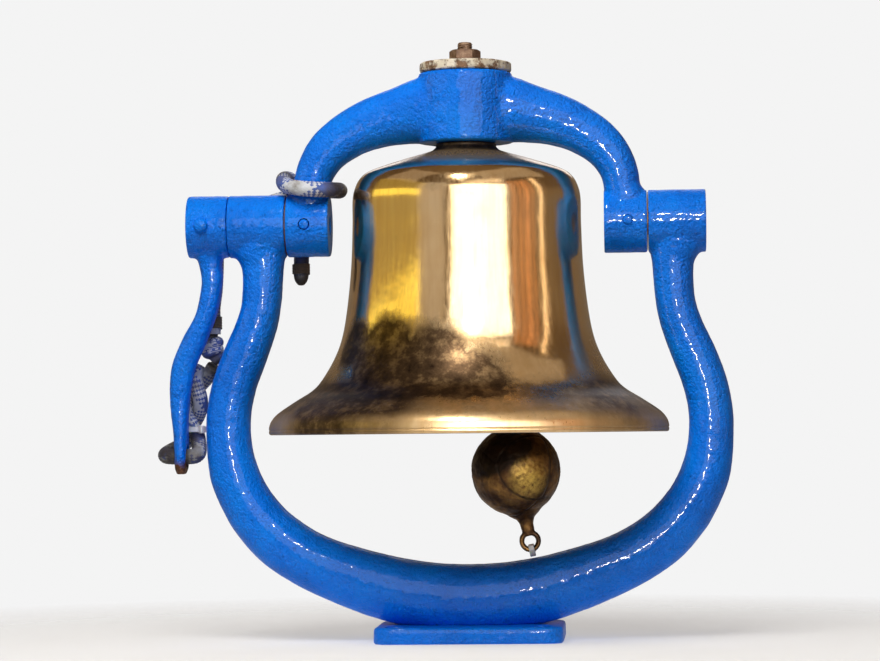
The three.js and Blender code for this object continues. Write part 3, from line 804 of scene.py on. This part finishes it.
def squarer(value):
    """Pushes the sine or cosine of a circle out towards a rounded square's."""
    return np.sign(value) * np.abs(value) ** (2 / SQUARENESS)


def cast_arm(stations):
    """A cast bar in the plane y = 0. A station is (inner x, z, outer x, z, half-depth)."""
    rows = catmull_rom(stations, 9 * (len(stations) - 1) + 1)
    angle = circle(72)
    share = (1 + squarer(np.cos(angle))) / 2
    deep = squarer(np.sin(angle))
    rings = []
    for inner_x, inner_z, outer_x, outer_z, depth in rows:
        rings.append(np.stack([inner_x + (outer_x - inner_x) * share, deep * depth,
                               inner_z + (outer_z - inner_z) * share], axis=1))
    return skin(rings)


def with_mirror(half):
    """The stations followed by their mirror image across x = 0."""
    flipped = [(-a, b, -c, d, depth) for a, b, c, d, depth in half[:-1]]
    return list(half) + flipped[::-1]


def both_sides(shell):
    """The shell and its copy on the other side of the bell."""
    return [shell, placed(shell, HALF_TURN)]


def boss(low, high, edge=0.5):
    """A trunnion boss between two distances along X."""
    return placed(bar(BOSS_RADIUS, low, high, 128, edge), ALONG_X)


def bore(radius, low, high):
    """What is cut for a shaft or bush of this radius."""
    return placed(bar(radius + CLEARANCE, low, high), ALONG_X)


def true_faces(piece, planes):
    """Machined boss faces: points near one of these distances from the middle are set onto it, and
    less and less so towards the boss's rounded rim."""
    points = coordinates(piece)
    away = np.hypot(points[:, 1], points[:, 2] - AXIS_Z)
    share = np.clip((BOSS_RADIUS + 0.1 - away) / 0.9, 0, 1)
    reach = np.abs(points[:, 0])
    for plane in planes:
        near = np.abs(reach - plane) < 2.2
        reach = np.where(near, reach + share * (plane - reach), reach)
    points[:, 0] = np.sign(points[:, 0]) * reach
    set_coordinates(piece, points)


def soften(piece, rounds, where):
    """Smooths the piece further where the test on x, y and z holds, as a fillet in a casting."""
    group = piece.vertex_groups.new(name="fillet")
    group.add(np.flatnonzero(where(*coordinates(piece).T)).tolist(), 1.0, "REPLACE")
    soft = piece.modifiers.new("fillet", "SMOOTH")
    soft.factor = 0.5
    soft.iterations = rounds
    soft.vertex_group = "fillet"
    apply_modifiers(piece)


CRADLE_HALF = [
    (147, 336, 189, 336, 20), (145.6, 320, 190.2, 319, 21), (146.2, 312, 189.6, 311.4, 20.4),
    (147.2, 304, 184, 305, 19.7), (148.2, 296, 180.8, 296, 19.5), (150, 272, 181.6, 272, 20),
    (154, 250, 187, 254, 20.5), (162, 226, 197.5, 231, 21), (171, 202, 206, 207, 21.5),
    (175.4, 180, 210.6, 182, 22), (174.6, 157, 210.8, 157, 22.5), (168.8, 136, 207.8, 130, 23),
    (158, 117, 199, 107, 23.5), (141, 99.5, 185.5, 84, 24), (116, 84, 160, 58, 25),
    (82, 72.6, 117, 34, 26), (42, 63.6, 60, 13.5, 26.5), (0, 60.4, 0, 5.5, 27),
]
YOKE_HALF = [
    (112, 334, 143, 334, 18), (110.4, 350, 144, 350, 19.6), (110.2, 357.5, 143, 357, 19),
    (109.4, 364, 139.2, 363, 18.4), (106.8, 371.5, 137.9, 372.5, 18.5), (99.5, 380.5, 133.5, 387, 19),
    (89, 387.5, 124, 403.5, 19.5), (77, 392.8, 108, 418.6, 20), (62, 396.3, 84, 433, 21),
    (46, 397.8, 56, 443.6, 22.5), (36, 397.8, 42, 449.4, 24.5), (22, 398, 26, 451.6, 25),
    (0, 398, 0, 452, 25),
]
CRANK = [
    (-197, 340, -219, 340, 15), (-196, 322, -220, 321, 16), (-196.6, 311, -218.4, 310, 14),
    (-197.6, 302, -215.4, 300, 12.4), (-197, 290, -214.2, 286, 12), (-201, 266, -219.2, 263, 11.5),
    (-210, 242, -229.5, 244, 11), (-219, 221, -238.6, 222, 10.5), (-223.4, 202, -240.6, 202, 10),
    (-225.4, 182, -239.6, 182, 10), (-226, 168, -238, 168, 11), (-225.8, 157, -237.4, 157, 13.4),
    (-225.8, 148, -237.2, 148, 14.4), (-226.4, 140, -236.8, 140, 12.4), (-228.2, 134.6, -235.2, 134.6, 8),
]


def cradle():
    piece = grown("cradle_casting", VOXEL, 2, cast_arm(with_mirror(CRADLE_HALF)),
                  *both_sides(boss(*CRADLE_BOSS)))
    soften(piece, 24, lambda x, y, z: (np.abs(z - 306) < 9) & (np.abs(x) > 147) & (np.abs(x) < 189))
    roughen(piece, SAND_LUMPS, SAND_GRAIN)
    true_faces(piece, CRADLE_BOSS)
    cut(piece, *both_sides(bore(BUSH_RADIUS, 120, 215)))
    finish_piece(piece, "cradle", "blue_paint", "cradle")


def foot():
    """The foot is a plate with rounded edges, a saddle for the bar's belly and four bolt holes."""
    rings = []
    for height, inset in ((0, 1.5), (0.4, 0.4), (1.4, 0), (FOOT_TOP - 2.4, 0.3), (FOOT_TOP - 0.8, 1.1),
                          (FOOT_TOP, 3)):
        ring = []
        for side_x, side_y, start in ((1, 1, 0), (-1, 1, 90), (-1, -1, 180), (1, -1, 270)):
            for step in range(13):
                angle = math.radians(start + step * 7.5)
                reach = FOOT_CORNER - inset
                ring.append((side_x * (FOOT_HALF_X - FOOT_CORNER) + reach * math.cos(angle),
                             side_y * (FOOT_HALF_Y - FOOT_CORNER) + reach * math.sin(angle), height))
        rings.append(ring)
    piece = grown("cradle_foot_plate", VOXEL, 2, skin(rings))
    roughen(piece, SAND_LUMPS)
    set_heights(piece, lambda x, y, z: np.where(z < 0.5, 0, z))
    saddle = [(a, b, c, d - 0.6, depth + 0.6) for a, b, c, d, depth in CRADLE_HALF]
    cut(piece, cast_arm(with_mirror(saddle)))
    for x in (-BOLT_X, BOLT_X):
        for y in (-BOLT_Y, BOLT_Y):
            for radius, low in ((BOLT_HOLE_RADIUS, -10), (SPOT_FACE_RADIUS, FOOT_TOP - 1)):
                cut(piece, moved(bar(radius, low, 30, 48, 0.3), x, y, 0))
    finish_piece(piece, "cradle", "blue_paint", "cradle_foot")


def yoke():
    hub = lathe([(0, 397.6), (36.5, 397.6), (38, 398.4), (38.5, 400), (37.6, HUB_HIGH - 2.5),
                 (37, HUB_HIGH - 0.7), (35.6, HUB_HIGH), (0, HUB_HIGH)], 128)
    piece = grown("yoke_casting", VOXEL, 2, cast_arm(with_mirror(YOKE_HALF)), hub,
                  *both_sides(boss(*YOKE_BOSS)))
    soften(piece, 40, lambda x, y, z: (
        (np.abs(np.hypot(x, y) - 42) < 8) & (np.abs(z - 425) < 25) & (np.abs(y) < 32)))
    soften(piece, 24, lambda x, y, z: (np.abs(z - 361) < 9) & (np.abs(x) < 143))
    roughen(piece, SAND_LUMPS, SAND_GRAIN)
    true_faces(piece, YOKE_BOSS)
    set_heights(piece, lambda x, y, z: np.where(np.hypot(x, y) < 44, np.minimum(z, HUB_HIGH), z))
    cut(piece, bar(CLAPPER_BOLT_BORE, 380, 470), *both_sides(bore(SHAFT_RADIUS, 90, 160)))
    for x, play in ((-PIN_X, 0.75), (PIN_X, 0.35)):
        for low in (15, -40):
            cut(piece, cross_bar(PIN_RADIUS + play, low, low + 25, x, AXIS_Z))
    finish_piece(piece, "yoke", "blue_paint", "yoke")


def crank_arm():
    piece = grown("crank_arm_casting", 1.0, 2, cast_arm(CRANK), boss(-CRANK_BOSS[1], -CRANK_BOSS[0], 2.6))
    soften(piece, 24, lambda x, y, z: (np.abs(z - 309) < 8) & (x < -193.4) & (x > -222))
    roughen(piece, (10, 0.4), (4, 0.24))
    true_faces(piece, CRANK_BOSS)
    flare = lathe([(0, -20), (12.2, -20), (12.2, -6.8), (7.4, -1.8), (7.4, 1.8), (12.2, 6.8),
                   (12.2, 20), (0, 20)], 64)
    eye = placed(flare, Matrix.Translation(CRANK_EYE) @ Matrix.Rotation(math.pi / 2, 4, "Y"))
    screw_hole = cross_bar(SCREW_HOLE_RADIUS, 10, 40, SCREW_X, AXIS_Z)
    cut(piece, bore(SHAFT_RADIUS, -221.4, -150), eye, screw_hole)
    finish_piece(piece, "yoke", "blue_paint_worn", "crank_arm")


cradle()
foot()
yoke()
crank_arm()


# ---- Bell ----
BELL_OUTSIDE = [
    (160, 168), (159.8, 171.2), (158.4, 175.4), (155, 180), (149.6, 184.4), (138, 192), (125.2, 200),
    (117.6, 208), (107.8, 224), (101, 241), (96.6, 264), (93, 298), (91.6, 332),
    (91.4, 352), (89.4, 362), (85, 370), (77, 375.6), (53, 383.8), (30, 390.6), (25.4, 393.2),
]
BELL_INSIDE = [
    (50, 369), (68, 364.5), (78, 356), (82, 342), (83, 318), (84.6, 290), (87.6, 264), (92, 241),
    (99, 220), (109, 202.6), (122, 186.4), (136, 174), (147, 166.4),
]


def bell():
    """The bell and its neck, a hair out of round, with a fine groove round the lip."""
    outside = catmull_rom(BELL_OUTSIDE, 200)
    outside[:, 0] -= np.exp(-((outside[:, 1] - 168.6) / 0.45) ** 2) * 0.45
    inside = catmull_rom(BELL_INSIDE, 70)
    profile = [(158.2, 165), (159.5, 165.6), (160, 167), *outside.tolist(), (24.3, 394.4), (24.2, 395.5),
               (24.2, 396.4), (23.4, 397.3), (17, 397.3), (17, 451), (6.5, 451), (6.5, 371),
               *inside.tolist(), (149.6, 165.3), (151, 165)]

    def wobble(angles, height):
        return 0.06 * np.sin(3 * angles + height / 60) + 0.04 * np.sin(7 * angles + height / 25)

    finished("bell_cast", lathe(profile, 256, wobble), "yoke", "bell_bronze", "bell", sharp=50)


bell()


# ---- Top of the stack: plate washer, nut, and the stud that is the clapper bolt's upper end ----
def plate_washer():
    """A thick washer with a worn rim."""
    def wobble(angles, height):
        return (0.35 * np.sin(5 * angles + 1) + 0.2 * np.sin(17 * angles + height)
                + 0.12 * np.sin(41 * angles))

    ring = lathe(broken_corners(9, 36.7, RING_LOW, RING_HIGH, 1.1), 192, wobble)
    piece = grown("top_plate_washer_worn", 0.8, 3, ring)
    roughen(piece, (3, 0.5))
    set_heights(piece, lambda x, y, z: np.clip(z, RING_LOW, RING_HIGH))
    finish_piece(piece, "yoke", "worn_plate", "top_plate_washer")


def top_nut():
    """A hexagon nut, chamfered above and below."""
    low, high = RING_HIGH + 0.3, RING_HIGH + 10.3
    half_flats = 25.2 / 2 * math.cos(math.pi / 6)
    angles = circle(192)
    hexagon = half_flats / np.cos((angles % (math.pi / 3)) - math.pi / 6)
    chamfer = half_flats * 0.97
    fall = (hexagon - chamfer) * math.tan(math.radians(32))
    rings = [ring_at(reach, angles, height) for reach, height in (
        (7.6, low), (chamfer, low), (hexagon, low + fall), (hexagon, high - fall),
        (chamfer, high), (8.0, high), (6.5, high - 1.4), (6.5, low + 1.2))]
    finished("top_nut_hex", skin(rings, closed=True), "yoke", "rusty_iron", "top_nut", sharp=25)


def thread(radius, low, high, pitch):
    """A screw thread between two heights: one ridge that climbs with the turn."""
    depth = 0.55 * pitch
    angles = circle(64)
    rings = []
    for height in np.linspace(low, high, round((high - low) / pitch * 8)):
        phase = ((height - low) / pitch - angles / (2 * math.pi)) % 1
        rings.append(ring_at(radius - depth * np.abs(2 * phase - 1), angles, height))
    return skin(rings)


def clapper_bolt():
    """The stud that holds the whole stack: thread above, flange and fork below."""
    stud = joined(bar(5.6, 357, STUD_TOP, 48, 1.4), thread(6.2, 448, STUD_TOP - 1.2, 1.75),
                  bar(6.2, 357, 449, 48, 0.4))
    flange_low = 361
    lower = grown(
        "clapper_bolt_fork", 0.9, 5, bar(19, flange_low, 369.4, 96, 1.6),
        moved(block(24, 30, flange_low - PIVOT_Z + 3, 1.5), 0, 0, (flange_low + PIVOT_Z) / 2 + 1),
        cross_bar(12, -15, 15, 0, PIVOT_Z, 64, 1.2))
    cut(lower, moved(block(60, 17, 44, 1), 0, 0, PIVOT_Z + 3),
        cross_bar(SMALL_BORE_RADIUS, -40, 40, 0, PIVOT_Z))
    roughen(lower, (5, 0.35))
    finish_piece(lower, "yoke", "rusty_iron")
    finished("clapper_bolt_stud", stud, "yoke", "rusty_iron", "clapper_bolt")


plate_washer()
top_nut()
clapper_bolt()


# ---- Trunnion shafts, bushes, pins and the crank's set screw ----
def shaft(name, low, high, turn, node):
    """A ground shaft with chamfered ends and a centre mark in the outer one."""
    outline = [(0, low), (7.0, low), (SHAFT_RADIUS, low + 1.0), (SHAFT_RADIUS, high - 1.0), (7.0, high),
               (2.4, high), (1.2, high - 2.2), (0, high - 2.2)]
    finished(name, placed(lathe(outline, 96), turn @ ALONG_X), "yoke", "plain_steel", node, sharp=30)


def bushes():
    """Flanged sleeves. The flange keeps the yoke's boss off the cradle's."""
    inner = SHAFT_RADIUS + CLEARANCE
    outline = [(inner, FLANGE[0]), (FLANGE_RADIUS, FLANGE[0]), (FLANGE_RADIUS, FLANGE[1]),
               (BUSH_RADIUS, FLANGE[1]), (BUSH_RADIUS, 190.2), (10.6, 190.7), (inner, 190.7),
               (inner, FLANGE[0])]
    for side, turn in (("right", Matrix()), ("left", HALF_TURN)):
        finished(f"{side}_bush_sleeve", placed(lathe(outline, 96), turn @ ALONG_X),
                 "cradle", "bearing_bronze", f"{side}_bush", sharp=30)


def yoke_pins():
    """Each pin stands flush in its hole, its ends a little domed and painted with the casting."""
    reach = BOSS_RADIUS + 0.3
    dome = [(PIN_RADIUS, reach - 1.3), (3.5, reach - 0.5), (2.4, reach), (0, reach + 0.1)]
    outline = [(radius, -height) for radius, height in dome[::-1]] + dome
    for side, x in (("right", PIN_X), ("left", -PIN_X)):
        finished(f"{side}_yoke_pin_painted", placed(lathe(outline, 48), along_y(x, AXIS_Z)),
                 "yoke", "blue_paint", f"{side}_yoke_pin")


def set_screw():
    """A domed head, buried in paint."""
    seat = BOSS_RADIUS - 1.2
    outline = [(0, 6), (4, 6), (4, seat), (6.2, seat), (5.7, seat + 1.6), (5.3, seat + 2.6),
               (5.2, seat + 3.9), (4.6, seat + 4.8), (3.0, seat + 5.4), (0, seat + 5.6)]
    finished("crank_set_screw_painted", placed(lathe(outline, 64), along_y(SCREW_X, AXIS_Z)),
             "yoke", "blue_paint", "crank_set_screw", sharp=80)


shaft("right_trunnion_shaft_ground", YOKE_BOSS[0] + 2, CRADLE_BOSS[1] - 2, Matrix(), "right_trunnion_shaft")
shaft("left_trunnion_shaft_ground", YOKE_BOSS[0] + 2, CRANK_BOSS[1] - 3, HALF_TURN, "left_trunnion_shaft")
bushes()
yoke_pins()
set_screw()


# ---- Clapper, made hanging from the origin and then tilted ----
BALL_RADIUS = 35.6
BALL_AT = 194.4
EYE_AT = 251.7
EYE_RADIUS = 6.8  # of the ring's middle line


def in_clapper(piece):
    """Tilts a piece made about the clapper's own axis into its place."""
    set_coordinates(piece, placed((coordinates(piece), None), IN_CLAPPER)[0])


def clapper_ball():
    """The ball, its tapering tail and the ring of the eye, cast as one."""
    outline = [(0, 4), (4.2, 4.2), (5.2, 9), (5.6, 14), (7.4, 18.5), (11.5, 21.6)]
    outline = [(radius, height - EYE_AT) for radius, height in outline]
    meets = math.asin(15 / BALL_RADIUS)
    for angle in np.linspace(meets, math.pi, 61):
        outline.append((max(0, BALL_RADIUS * math.sin(angle)), -BALL_AT - BALL_RADIUS * math.cos(angle)))
    rings = []
    for angle in circle(96):
        reach = EYE_RADIUS + 2.1 * np.cos(circle(32))
        rings.append(np.stack([reach * math.cos(angle), 3.7 * np.sin(circle(32)),
                               reach * math.sin(angle) - EYE_AT], axis=1))
    piece = grown("clapper_ball_cast", 0.8, 6, lathe(outline, 128), skin(rings, closed=True))
    roughen(piece, (14, 1.0), (3, 0.45))
    cut(piece, bar(8.3, -BALL_AT + 11.7, -100, 48, 0.4))
    in_clapper(piece)
    finish_piece(piece, "clapper", "dark_bronze", "clapper_ball", sharp=60)


def clapper_rod():
    """The rod, with its eye round the pin."""
    piece = grown("clapper_rod_forged", 0.9, 5, bar(8, -BALL_AT + 12, -6),
                  cross_bar(13, -7.6, 7.6, 0, 0, 64, 1.4))
    cut(piece, cross_bar(SMALL_BORE_RADIUS, -20, 20, 0, 0))
    roughen(piece, (6, 0.3))
    in_clapper(piece)
    finish_piece(piece, "clapper", "rusty_iron", "clapper_rod")


def clapper_pin():
    """The pin through fork and rod, and the split pin in its rear end."""
    outline = [(0, -20), (4.4, -20), (5, -19.4), (5, 15.4), (7.2, 15.4), (8, 16.2), (7.6, 17.6), (5.6, 18.2),
               (0, 18.3)]
    finished("clapper_pin_headed", placed(lathe(outline, 64), along_y(0, PIVOT_Z)),
             "yoke", "plain_steel", "clapper_pin", sharp=30)
    wires = []
    for step, wire in ((0.4, [(0.9, 5), (2.2, 6.6), (2, 8.6), (0, 9.6), (-2, 8.6), (-2.2, 6.6), (-0.9, 5)]),
                       (0.5, [(0.75, 5), (0.72, 0), (0.8, -6), (2.4, -8.6)]),
                       (0.5, [(-0.75, 5), (-0.72, 0), (-0.8, -6), (-2.4, -8.2)])):
        wires.append(tube(evenly([[x, 17.7, PIVOT_Z + z] for x, z in wire], step), 0.72, 14))
    finished("clapper_split_pin_bent", joined(*wires), "yoke", "plain_steel", "clapper_split_pin")


def clapper_tie():
    """A flat strap looped through the tail's eye, bearing on its lower rim."""
    corners = [(-4.2, -3.2), (0, -3.1), (4.2, -3.2), (5.2, -5), (5.2, -8), (3.2, -11.2), (0, -11.9),
               (-3.2, -11.2), (-5.2, -8), (-5.2, -5)]
    around = np.array([(0, y, z) for y, z in corners + corners[:3]], float)
    loop = catmull_rom(around, 12 * (len(around) - 1) + 1)[12:-13]
    head = moved(block(5.6, 3.6, 4.6, 0.4), 0, 6.4, -7)
    shell = moved(joined(strap(loop, 4.4, 1.1), head), 0, 0, -EYE_AT)
    finished("clapper_tie_strap", placed(shell, IN_CLAPPER), "clapper", "white_nylon",
             "clapper_tie", sharp=30)


clapper_ball()
clapper_rod()
clapper_pin()
clapper_tie()


# ---- Floor and light ----
def floor():
    """A pale floor that fades out away from the object."""
    piece = piece_from("floor", lathe([(0, -1.2), (3000, -1.2), (3000, -0.2), (0, -0.2)], 96))
    look = Recipe("pale_floor", Base_Color=rgb(240, 240, 240), Roughness=0.75,
                  Emission_Color=rgb(255, 255, 255), Emission_Strength=0.22)
    look.set(Alpha=look.range(look.away(0, 0, 0), 0.2, 0.75, 0.6, 0.0))
    piece.data.materials.append(LOOKS["pale_floor"])


WAIST_Z = 0.3  # metres: the lights stand round the bell's waist and are aimed at it


def area_light(name, azimuth, elevation, distance, width, height, watts, colour):
    """A soft light at a distance in metres. Azimuth 0 is in front and 90 to the right."""
    data = bpy.data.lights.new(name, "AREA")
    data.shape = "RECTANGLE"
    data.size = width
    data.size_y = height
    data.energy = watts
    data.color = colour[:3]
    lamp = bpy.data.objects.new(name, data)
    bpy.context.collection.objects.link(lamp)
    turn, rise = math.radians(azimuth), math.radians(elevation)
    lamp.location = (distance * math.sin(turn) * math.cos(rise),
                     -distance * math.cos(turn) * math.cos(rise), WAIST_Z + distance * math.sin(rise))
    aim = Vector((0, 0, WAIST_Z)) - lamp.location
    lamp.rotation_euler = aim.to_track_quat("-Z", "Y").to_euler()
    lamp.visible_camera = False
    return lamp


WHITE = rgb(255, 252, 246)
PALE = rgb(255, 246, 236)
COPPER = rgb(255, 180, 124)
MIRRORED_LIGHTS = [
    ("window", 15, 13, 1.9, 1.95, 1.25, 23, rgb(250, 252, 255)),
    ("window_high", 24, 38, 1.95, 1.1, 0.3, 1.0, PALE),
    ("tan_wall", -33, 14, 2.1, 0.98, 1.7, 2.0, rgb(244, 246, 250)),
    ("warm_wall", -75, 15, 1.7, 1.95, 1.5, 2.4, rgb(255, 236, 112)),
    ("warm_lamp", -74, 16, 1.65, 1.85, 0.26, 1.6, rgb(255, 246, 110)),
    ("copper_50", 50, 14, 1.7, 0.14, 1.4, 0.34, COPPER),
    ("copper_57", 57, 14, 1.7, 0.10, 1.4, 0.26, COPPER),
    ("copper_64", 64, 14, 1.7, 0.16, 1.4, 0.5, COPPER),
    ("copper_71", 71, 14, 1.7, 0.08, 1.4, 0.2, COPPER),
    ("bright_edge", 81, 14, 1.7, 0.15, 1.5, 1.1, rgb(255, 232, 204)),
    ("ceiling_right", 68, 58, 1.9, 2.1, 1.1, 2.2, PALE),
    ("ceiling_left", -78, 52, 1.9, 1.3, 1.0, 1.0, PALE),
    ("lamp", 3, 1, 2.4, 0.16, 0.16, 12, WHITE),
    ("lamp_upper", 7, 22, 2.4, 0.12, 0.12, 16, WHITE),
    ("lamp_high", -6, 52, 2.2, 0.12, 0.12, 20, WHITE),
]


def lights():
    """Most of the lights show only in reflections. The fill lights the rest and shows in none."""
    for light in MIRRORED_LIGHTS:
        area_light(*light).visible_diffuse = False
    area_light("fill", -16, 44, 1.35, 0.9, 0.9, 18.5, WHITE).visible_glossy = False
    area_light("back", 180, 30, 1.9, 1.2, 1.0, 4.5, rgb(236, 242, 255))


def surroundings():
    """White paper for the camera, and a dim brown room for reflections and shade."""
    world = bpy.data.worlds.new("studio")
    world.use_nodes = True
    nodes = Nodes(world.node_tree)
    height = nodes.node("SeparateXYZ", Vector=nodes.node("TexCoord").outputs["Generated"])
    share = nodes.node("MapRange", Value=height.outputs["Z"], From_Min=-1)
    ramp = nodes.node("ValToRGB", Fac=share.outputs[0])
    set_ramp(ramp, ((0.0, 150, 146, 140), (0.49, 124, 114, 102), (0.6, 128, 112, 92),
                    (0.67, 106, 90, 72), (0.9, 92, 76, 58), (1.0, 116, 98, 76)))
    room = nodes.tree.nodes["Background"]
    nodes.put(room.inputs["Color"], ramp.outputs[0])
    paper = nodes.node("Background", Color=rgb(244, 244, 244))
    choose = nodes.node("MixShader")
    for number, output in enumerate((nodes.node("LightPath").outputs["Is Camera Ray"],
                                     room.outputs[0], paper.outputs[0])):
        nodes.put(choose.inputs[number], output)
    nodes.put(nodes.tree.nodes["World Output"].inputs["Surface"], choose.outputs[0])
    bpy.context.scene.world = world
    bpy.context.scene.view_settings.view_transform = "Standard"


floor()
lights()
surroundings()
